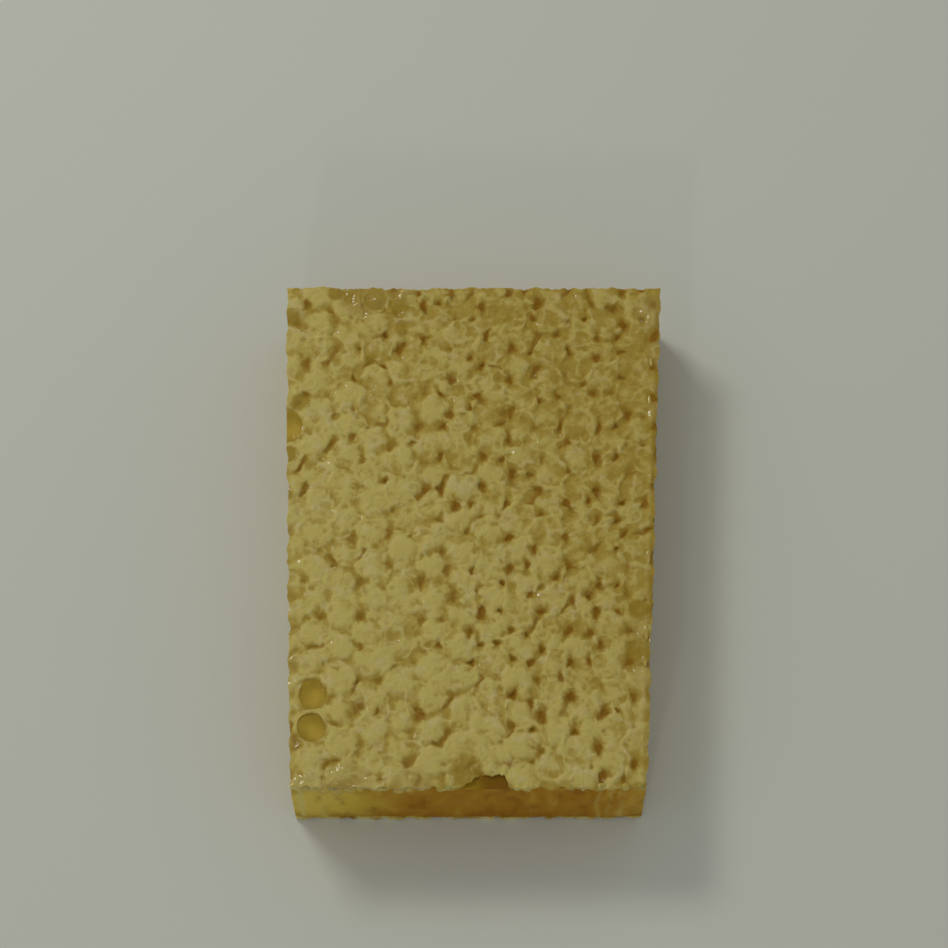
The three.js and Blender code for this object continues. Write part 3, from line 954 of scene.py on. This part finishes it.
def capping(name, anchor, seed, uncapped=()):
    """The open relief of a capping, still wider than the slab."""
    sheet = hexagon_tiling(name, anchor)
    uncap(sheet, uncapped)
    raise_caps(sheet, anchor, seed + 1)
    shake(sheet, 0.2 * MM, seed)
    apply_modifier(sheet, "SUBSURF", levels=2, render_levels=2)
    ridge_rims(sheet, anchor, raise_domes(sheet, anchor, seed + 3))
    pits = press_pits(sheet, anchor, seed, uncapped)
    grooves = press_crescents(sheet, anchor, seed + 2)
    # The pits keep their own amber; the crescent grooves get painted shade on the lumps' right sides.
    paint_attribute(sheet, "pit", np.maximum(pits, 0.6 * grooves))
    points = places(sheet)
    gaps = [far_from(points, spot) for spot in uncapped]
    loose = weight_group(sheet, "loose", 1 - fade(np.min(gaps, axis=0), 4.2 * MM, 2.9 * MM) if gaps else
                         np.ones(len(points)))
    for size, amount in ((3.8 * MM, 1.0 * MM), (1.7 * MM, 0.45 * MM)):
        rumple(sheet, cloud_texture("uneven cells", size), amount, "X", loose)
        rumple(sheet, cloud_texture("uneven cells", size * 0.87), amount, "Y", loose)
    drift(sheet)
    rumple(sheet, cloud_texture("wax swells", 8 * MM), 0.3 * MM)
    rumple(sheet, cloud_texture("dimples", 2.0 * MM, 2), 0.5 * MM)
    rumple(sheet, cloud_texture("wrinkles", 1.6 * MM, 1, hard=True), -0.3 * MM)
    rumple(sheet, cloud_texture("fine wrinkles", 0.85 * MM, 1, hard=True), -0.16 * MM)
    heights = (places(sheet)[:, 2] - 17.8 * MM) / (0.6 * MM)
    press(sheet, "heights", np.clip(heights, 0, 1), -0.45 * MM)
    return sheet


class MESH_OT_comb_upper_capping(bpy.types.Operator):
    """Add the pale wax capping on top, with a dome over each cell and pits between them"""

    bl_idname = "mesh.comb_upper_capping"
    bl_label = "Upper Capping"

    def execute(self, context):
        seed = comb_settings().relief_seed
        sheet = capping("upper_wax_capping", UPPER_ANCHOR, seed, OPEN_CELLS)
        for spot, reach, rise in SWELLINGS:
            nudge(sheet, [x * MM for x in spot], reach * MM, rise * MM)
        off = far_from(places(sheet) / MM, BUBBLE)
        soften(sheet, "bubble", fade(off, BUBBLE[2] + 0.2, BUBBLE[2] - 0.3), 12)
        press(sheet, "bubble rim", fade(abs(off - BUBBLE[2]), 0.38, 0), 0.22 * MM)
        crumble_border(sheet)
        tear_notch(sheet)
        back_up(sheet, CAP_FLOOR)
        sheet = hang_crumbs(sheet, seed)
        smooth(sheet)
        wear(sheet, ready_made("beeswax capping", wax_material))
        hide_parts("upper_capping")
        return {"FINISHED"}


# The honey in an uncapped cell is a little narrower than half the distance to the next one.
POOL_RADIUS = 2.69 * MM
POOL_DEPTH = 0.9 * MM
# Steps from the rim of that honey to its middle: share of the width, and rise in mm.
POOL_STEPS = [(0.86, 0), (0.93, -0.03), (0.9, -0.05), (0.8, -0.03), (0.5, 0)]


class MESH_OT_comb_open_cells(bpy.types.Operator):
    """Add the honey that stands up to the rim in the cells without a capping"""

    bl_idname = "mesh.comb_open_cells"
    bl_label = "Honey in Open Cells"

    def execute(self, context):
        wax = bpy.data.objects["upper_wax_capping"]
        points = places(wax)
        pools = []
        for spot in OPEN_CELLS:
            x, y = spot.x + OPEN_SHIFT, spot.y
            around = points[(far_from(points, spot) < 2.75 * MM) & (points[:, 2] > CAP_FLOOR + 0.3 * MM), 2]
            level = min(np.percentile(around, 30), OPEN_LEVEL)
            deselect()
            bpy.ops.mesh.primitive_cylinder_add(vertices=64, radius=POOL_RADIUS, depth=POOL_DEPTH,
                                                location=(x, y, level - POOL_DEPTH / 2))
            pool = settle()
            choose(pool, places(pool, "FACE")[:, 2] > level - 0.01 * MM)
            for size, rise in POOL_STEPS:
                bpy.ops.mesh.inset(thickness=0, depth=0, use_individual=True)
                bpy.ops.transform.resize(value=(size, size, 1), center_override=(x, y, level))
                bpy.ops.transform.translate(value=(0, 0, rise * MM))
            leave(pool)
            pools.append(pool)
        pools = join(pools, "honey_in_open_cells")
        cut_to_slab(pools, (0.12 * MM,) * 4, True)
        edit_all(pools)
        bpy.ops.mesh.remove_doubles(threshold=0.005 * MM)
        bpy.ops.mesh.delete_loose()
        bpy.ops.mesh.select_all(action="SELECT")
        bpy.ops.mesh.normals_make_consistent(inside=False)
        leave(pools)
        smooth(pools, 50)
        wear(pools, ready_made("amber honey", honey_material))
        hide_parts("honey_comb")
        return {"FINISHED"}


class MESH_OT_comb_lower_capping(bpy.types.Operator):
    """Add the wax capping underneath, pressed level where the piece rests on it"""

    bl_idname = "mesh.comb_lower_capping"
    bl_label = "Lower Capping"

    def execute(self, context):
        sheet = capping("lower_wax_capping", LOWER_ANCHOR, comb_settings().relief_seed + 20)
        back = CAP_GROOVE + BASE_GROOVE - BASE_TOP
        crumble_border(sheet)
        back_up(sheet, back)
        edit_all(sheet, "VERT")
        bpy.ops.transform.resize(value=(1, 1, -1), center_override=(0, 0, 0))
        bpy.ops.transform.translate(value=(0, 0, CAP_GROOVE + BASE_GROOVE))
        bpy.ops.mesh.normals_make_consistent(inside=False)
        leave(sheet)
        choose(sheet, places(sheet)[:, 2] < LEDGE, "VERT")
        flatten(0)
        leave(sheet)
        smooth(sheet)
        wear(sheet, ready_made("beeswax capping", wax_material))
        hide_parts("lower_capping")
        return {"FINISHED"}


# ---------------------------------------------------------------- the comb between the cappings

WALL = 0.3 * MM
SLICES = 12
LAYERS = (("upper", UPPER_ANCHOR, MIDRIB_Z, CAP_FLOOR), ("lower", LOWER_ANCHOR, BASE_TOP, MIDRIB_Z))
WALL_INSETS = (1.0 * MM, 0.35 * MM, 0.35 * MM, 0.35 * MM)
HONEY_INSETS = (1.05 * MM, 0.5 * MM, 0.5 * MM, 0.5 * MM)


def inset_cells(sheet, width):
    """Split every cell into a band along its walls and a middle, and mark the middles."""
    reshape(sheet, bpy.ops.mesh.inset, thickness=width, depth=0, use_individual=True)
    return np.array([len(face.vertices) > 4 for face in sheet.data.polygons])


def stand_up(sheet, height):
    """Extrude a flat outline upwards into a closed solid."""
    edit_all(sheet)
    bpy.ops.mesh.extrude_region_move(TRANSFORM_OT_translate={"value": (0, 0, height)})
    bpy.ops.mesh.select_all(action="SELECT")
    bpy.ops.mesh.normals_make_consistent(inside=False)
    leave(sheet)


def sway(obj):
    """Bend everything between the cappings alike, so that walls and honey stay together."""
    for step in range(1, SLICES):
        height = BASE_TOP + (CAP_FLOOR - BASE_TOP) * step / SLICES
        reshape(obj, bpy.ops.mesh.bisect, plane_co=(0, 0, height), plane_no=(0, 0, 1), threshold=0.001 * MM)
    bend = cloud_texture("cell bend", 4.5 * MM, 1)
    rumple(obj, bend, 0.8 * MM, "X")
    rumple(obj, bend, 0.8 * MM, "Y")
    cut_to_slab(obj, (0.05 * MM,) * 4, True)


def cell_walls(name, anchor, low, high):
    walls = comb_outline(name, anchor, low)
    middles = inset_cells(walls, WALL / 2)
    remove_faces(walls, middles)
    cut_to_slab(walls, WALL_INSETS)
    stand_up(walls, high - low)
    return walls


def midrib():
    """The folded wall between the two layers, low under each upper cell and high over each lower one."""
    sheet = comb_outline("midrib", UPPER_ANCHOR, MIDRIB_Z)
    reshape(sheet, bpy.ops.mesh.poke)
    side = comb_settings().cell_pitch / math.sqrt(3)
    points = places(sheet)
    centres = nearest_cells(points - (0.05 * MM, 0, 0), UPPER_ANCHOR)[0]
    gaps = points[:, :2] - centres
    for spot, fold in ((0.0, -0.5 * MM), (side, 0.5 * MM)):
        choose(sheet, np.hypot(gaps[:, 0] - spot, gaps[:, 1]) < 1.2 * MM, "VERT")
        bpy.ops.transform.translate(value=(0, 0, fold))
        leave(sheet)
    cut_to_slab(sheet, WALL_INSETS)
    apply_modifier(sheet, "SOLIDIFY", thickness=WALL, offset=0)
    return sheet


class MESH_OT_comb_walls(bpy.types.Operator):
    """Add the thin wax walls of both layers of cells and the folded wall between them"""

    bl_idname = "mesh.comb_walls"
    bl_label = "Cell Walls"

    def execute(self, context):
        parts = [cell_walls(name, anchor, low, high) for name, anchor, low, high in LAYERS]
        walls = join([*parts, midrib()], "cell_walls")
        sway(walls)
        smooth(walls, 40)
        wear(walls, wall_material())
        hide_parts("honey_comb")
        return {"FINISHED"}


# How far the honey's face sinks into a cell that the knife opened: the part of the cells up to which
# it is drawn, and the depth.
MENISCUS_LOOKS = [(0.2, -0.1 * MM), (0.5, 0.15 * MM), (0.8, 0.35 * MM), (1.0, 0.7 * MM)]
# Steps that round a face whose area lies between two limits in mm²: inset, share of the depth.
MENISCUS_STEPS = [(20, 200, ((0.12 * MM, 0.4), (0.2 * MM, 0.32), (0.3 * MM, 0.2), (0.35 * MM, 0.08))),
                  (8, 20, ((0.1 * MM, 0.25), (0.15 * MM, 0.15), (0.2 * MM, 0.05)))]


# A cut face with less honey than this behind it stays flat.
THIN_HONEY = 1.6 * MM


def honey_cells(name, anchor, low, high):
    honey = comb_outline(name, anchor, low)
    middles = inset_cells(honey, WALL / 2 + 0.01 * MM)
    remove_faces(honey, ~middles)
    cut_to_slab(honey, HONEY_INSETS)
    stand_up(honey, high - low)
    centres = nearest_cells(places(honey), anchor)[0]
    cells, which = np.unique(np.round(centres, 6), axis=0, return_inverse=True)
    draw = random.Random(name)
    tones = np.array([draw.random() for _ in cells])
    paint_attribute(honey, "tone", tones[which.ravel()])
    return honey


def curve_cut_faces(honey, seed):
    """Round the honey's face in every cell that a cut opened, taken in order along each layer."""
    for k, inset in enumerate(HONEY_INSETS):
        start, outward = slab_sides(inset)[k]
        centres = places(honey, "FACE")
        on_cut = abs((centres - np.array(start))[:, :2] @ np.array(outward)[:2]) < 0.02 * MM
        on_cut &= facing(honey, outward)
        areas = np.array([face.area for face in honey.data.polygons]) / MM ** 2
        for smallest, largest, steps in MENISCUS_STEPS:
            spots = centres[on_cut & (areas > smallest) & (areas <= largest)]
            spots = [spot for spot in spots if honey_behind(honey, spot, outward) > THIN_HONEY]
            spots.sort(key=lambda spot: (spot[2] > MIDRIB_Z, spot[0] + spot[1]))
            looks = draw_looks(len(spots), MENISCUS_LOOKS, seed + k)
            for look, (_, depth) in enumerate(MENISCUS_LOOKS):
                for thickness, part in steps:
                    centres_now = places(honey, "FACE")
                    mask = np.zeros(len(centres_now), dtype=bool)
                    for spot in (spot for spot, drawn in zip(spots, looks) if drawn == look):
                        mask |= np.linalg.norm(centres_now - spot, axis=1) < 0.25 * MM + 1.1 * abs(depth)
                    choose(honey, mask & facing(honey, outward))
                    bpy.ops.mesh.inset(thickness=thickness, depth=-depth * part, use_individual=True)
                    leave(honey)


def honey_behind(honey, spot, outward):
    """How thick the honey is behind a place on its cut face."""
    start = Vector(spot) - outward * (0.02 * MM)
    hit, place, _, _ = honey.ray_cast(start, -outward)
    return (place - start).length if hit else 0.0


def facing(obj, direction):
    normals = np.empty(len(obj.data.polygons) * 3)
    obj.data.polygons.foreach_get("normal", normals)
    return normals.reshape(-1, 3) @ np.array(direction) > 0.98


class MESH_OT_comb_honey(bpy.types.Operator):
    """Add the honey in every cell, with a curved face where a cut opened the cell"""

    bl_idname = "mesh.comb_honey"
    bl_label = "Honey"

    def execute(self, context):
        parts = [honey_cells(name + "_honey", anchor, low, high) for name, anchor, low, high in LAYERS]
        honey = join(parts, "honey_in_cells")
        curve_cut_faces(honey, comb_settings().relief_seed)
        sway(honey)
        smooth(honey, 40)
        wear(honey, ready_made("amber honey", honey_material))
        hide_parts("honey_comb")
        return {"FINISHED"}


# The honey film on the near cut: its ends, its lower and upper edge, how far inside the cut it lies,
# and how many times longer than wide its runs are.
FILM_ENDS = (-28.4 * MM, 26.6 * MM)
FILM_HEIGHTS = (0.3 * MM, 16.7 * MM)
FILM_INSET = 1.05 * MM
FLOW = 6


class MESH_OT_comb_film(bpy.types.Operator):
    """Add the sheet of honey that has run down over the near cut and closes its cells"""

    bl_idname = "mesh.comb_film"
    bl_label = "Honey Film"

    def execute(self, context):
        width = FILM_ENDS[1] - FILM_ENDS[0]
        height = FILM_HEIGHTS[1] - FILM_HEIGHTS[0]
        deselect()
        middle = (sum(FILM_ENDS) / 2, NEAR_Y + FILM_INSET, sum(FILM_HEIGHTS) / 2)
        bpy.ops.mesh.primitive_grid_add(x_subdivisions=150, y_subdivisions=48, size=1, location=middle,
                                        rotation=(math.pi / 2, 0, 0))
        film = settle((width, height / FLOW, 1))
        rumple(film, cloud_texture("runs", 1.5 * MM, 2), 0.3 * MM, "Y")
        reshape(film, bpy.ops.transform.resize, value=(1, 1, FLOW), center_override=(0, 0, middle[2]))
        points = places(film)
        ends = np.minimum(points[:, 0] - FILM_ENDS[0], FILM_ENDS[1] - points[:, 0]) / (2.2 * MM)
        lips = np.minimum(points[:, 2] - FILM_HEIGHTS[0], FILM_HEIGHTS[1] - points[:, 2]) / (1.2 * MM)
        swell = np.clip(ends, 0, 1) * (0.4 + 0.6 * np.clip(lips, 0, 1))
        body = weight_group(film, "body", swell)
        apply_modifier(film, "DISPLACE", strength=-0.42 * MM, mid_level=0, direction="Y", vertex_group=body)
        rumple(film, cloud_texture("film swells", 4.5 * MM), 0.5 * MM, "Y")
        apply_modifier(film, "SOLIDIFY", thickness=0.6 * MM, offset=0)
        film = join([film, self.spill()], "honey_film")
        cut_to_slab(film, (0.03 * MM, 0.3 * MM, 0.3 * MM, 0.3 * MM), True)
        reshape(film, bpy.ops.mesh.normals_make_consistent, inside=False)
        smooth(film, 60)
        wear(film, film_material())
        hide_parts("honey_comb")
        return {"FINISHED"}

    def spill(self):
        """The honey that stands in the notch of the lip."""
        deselect()
        place = (NOTCH_X - 1.2 * MM, NEAR_Y + NOTCH_DEPTH * 0.7, 16.35 * MM)
        bpy.ops.mesh.primitive_cylinder_add(vertices=64, radius=NOTCH_HALF * 1.4, depth=1.2 * MM,
                                            location=place)
        spill = settle((1.5, 1, 1))
        cut_to_slab(spill, (0.12 * MM,) * 4, True)
        apply_modifier(spill, "BEVEL", width=0.3 * MM, segments=4, limit_method="ANGLE", angle_limit=1.0)
        return spill


# Drops of honey that hang from the near lip: place along it, height, half width and half height, in mm.
DROPS = [
    (-22.9, 15.5, 1.1, 1.9), (-21.2, 15.2, 1.2, 2.3), (-19.2, 15.7, 1.1, 1.7), (-17.6, 16.1, 0.8, 1.2),
    (-11.6, 15.5, 1.2, 1.9), (-14.6, 16.1, 0.8, 1.2), (-10.0, 16.0, 0.9, 1.3), (-5.2, 15.9, 0.8, 1.2),
    (8.4, 16.0, 0.7, 1.1),
]
# Honey lying on the wax: place, half width and half length, in mm.
TRICKLES = [
    (28.9, 29.5, 0.26, 0.8), (28.5, 22.5, 0.26, 1.1), (26.6, 15.5, 0.25, 0.5), (27.7, -4.5, 0.34, 1.3),
    (27.1, -17.5, 0.32, 1.4), (26.8, -22.5, 0.3, 0.7), (28.3, 9.0, 0.28, 0.6), (26.1, -35.0, 0.28, 0.5),
]


def surface(wax, x, y):
    """The height of the capping at a place, in mm."""
    hit, place, _, _ = wax.ray_cast((x * MM, y * MM, 0.03), (0, 0, -1))
    return min(place.z / MM, 17.7) if hit else 17.3


class MESH_OT_comb_beads(bpy.types.Operator):
    """Add the beads of clear honey that hang on the near lip"""

    bl_idname = "mesh.comb_beads"
    bl_label = "Honey Beads"

    def execute(self, context):
        wax = bpy.data.objects["upper_wax_capping"]
        beads = join([self.hanging(*sizes) for sizes in DROPS], "honey_beads")
        rumple(beads, cloud_texture("bead wobble", 1.6 * MM), 0.4 * MM, "X")
        rumple(beads, cloud_texture("bead sag", 1.6 * MM), 0.3 * MM, "Z")
        lying = [drop((x, y, surface(wax, x, y)), (wide, long, 0.13)) for x, y, wide, long in TRICKLES]
        beads = join([beads, *lying], "honey_beads")
        cut_to_slab(beads, (0.03 * MM,) * 4, True)
        smooth(beads, 80)
        wear(beads, bead_material())
        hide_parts("honey_comb")
        return {"FINISHED"}

    def hanging(self, x, z, wide, tall):
        """A drop with a round lower end, drawn out upwards to the lip."""
        middle = z - tall + wide
        bead = drop((x, NEAR_Y / MM + 0.75, middle), (wide, 0.68, wide))
        choose(bead, places(bead)[:, 2] > (middle + 0.01) * MM, "VERT")
        bpy.ops.transform.resize(value=(1, 1, (2 * tall - wide) / wide), center_override=(0, 0, middle * MM))
        leave(bead)
        return bead


# ---------------------------------------------------------------- the stage

def area_light(name, place, **values):
    """An area light that is aimed at the piece."""
    light = bpy.data.lights.new(name, "AREA")
    for key, value in values.items():
        setattr(light, key, value)
    lamp = bpy.data.objects.new(name, light)
    lamp.location = place
    lamp.rotation_euler = (-lamp.location).to_track_quat("-Z", "Y").to_euler()
    bpy.context.scene.collection.objects.link(lamp)


class SCENE_OT_comb_stage(bpy.types.Operator):
    """Add the pale floor, the soft light and the camera"""

    bl_idname = "scene.comb_stage"
    bl_label = "Stage"

    def execute(self, context):
        deselect()
        bpy.ops.mesh.primitive_plane_add(size=3.0, location=(0, 0, 0))
        floor = context.object
        floor.name = "pale_floor"
        paint = Paint("pale floor")
        paint.set(Base_Color=(0.75, 0.765, 0.66), Roughness=0.9)
        floor.data.materials.append(paint.material)

        world = bpy.data.worlds.new("soft room")
        context.scene.world = world
        world.use_nodes = True
        sky = world.node_tree.nodes["Background"].inputs
        sky["Color"].default_value = (0.95, 0.97, 1.0, 1)
        sky["Strength"].default_value = 0.33

        area_light("window", (-0.34, 0.38, 0.55), energy=1.2, shape="RECTANGLE", size=0.22, size_y=0.16,
                   color=(1.0, 0.98, 0.94))
        area_light("lamp", (-0.12, -0.62, 0.34), energy=0.26, size=0.04)

        lens = bpy.data.cameras.new("camera")
        lens.lens = 115.3
        camera = bpy.data.objects.new("camera", lens)
        camera.location = (0.0, -0.18065, 0.4668)
        camera.rotation_euler = (math.radians(22.93), 0, 0)
        context.scene.collection.objects.link(camera)
        context.scene.camera = camera

        context.scene.view_settings.view_transform = "Standard"
        return {"FINISHED"}


class VIEW3D_PT_comb_piece(bpy.types.Panel):
    """Lists the sizes, the colours and the steps"""

    bl_label = "Comb Honey Piece"
    bl_idname = "VIEW3D_PT_comb_piece"
    bl_space_type = "VIEW_3D"
    bl_region_type = "UI"
    bl_category = "Comb"

    def draw(self, context):
        for name in CombSettings.__annotations__:
            self.layout.prop(context.scene.comb_piece, name)
        for operator in OPERATORS:
            self.layout.operator(operator.bl_idname)


OPERATORS = [
    SCENE_OT_comb_stage,
    MESH_OT_comb_upper_capping,
    MESH_OT_comb_open_cells,
    MESH_OT_comb_lower_capping,
    MESH_OT_comb_walls,
    MESH_OT_comb_honey,
    MESH_OT_comb_film,
    MESH_OT_comb_beads,
]
CLASSES = [CombSettings, *OPERATORS, VIEW3D_PT_comb_piece]


def register():
    for cls in CLASSES:
        bpy.utils.register_class(cls)
    bpy.types.Scene.comb_piece = PointerProperty(type=CombSettings)


def unregister():
    del bpy.types.Scene.comb_piece
    for cls in reversed(CLASSES):
        bpy.utils.unregister_class(cls)


def main():
    register()
    bpy.ops.scene.comb_stage()
    bpy.ops.mesh.comb_upper_capping()
    bpy.ops.mesh.comb_open_cells()
    bpy.ops.mesh.comb_lower_capping()
    bpy.ops.mesh.comb_walls()
    bpy.ops.mesh.comb_honey()
    bpy.ops.mesh.comb_film()
    bpy.ops.mesh.comb_beads()


if __name__ == "__main__":
    main()
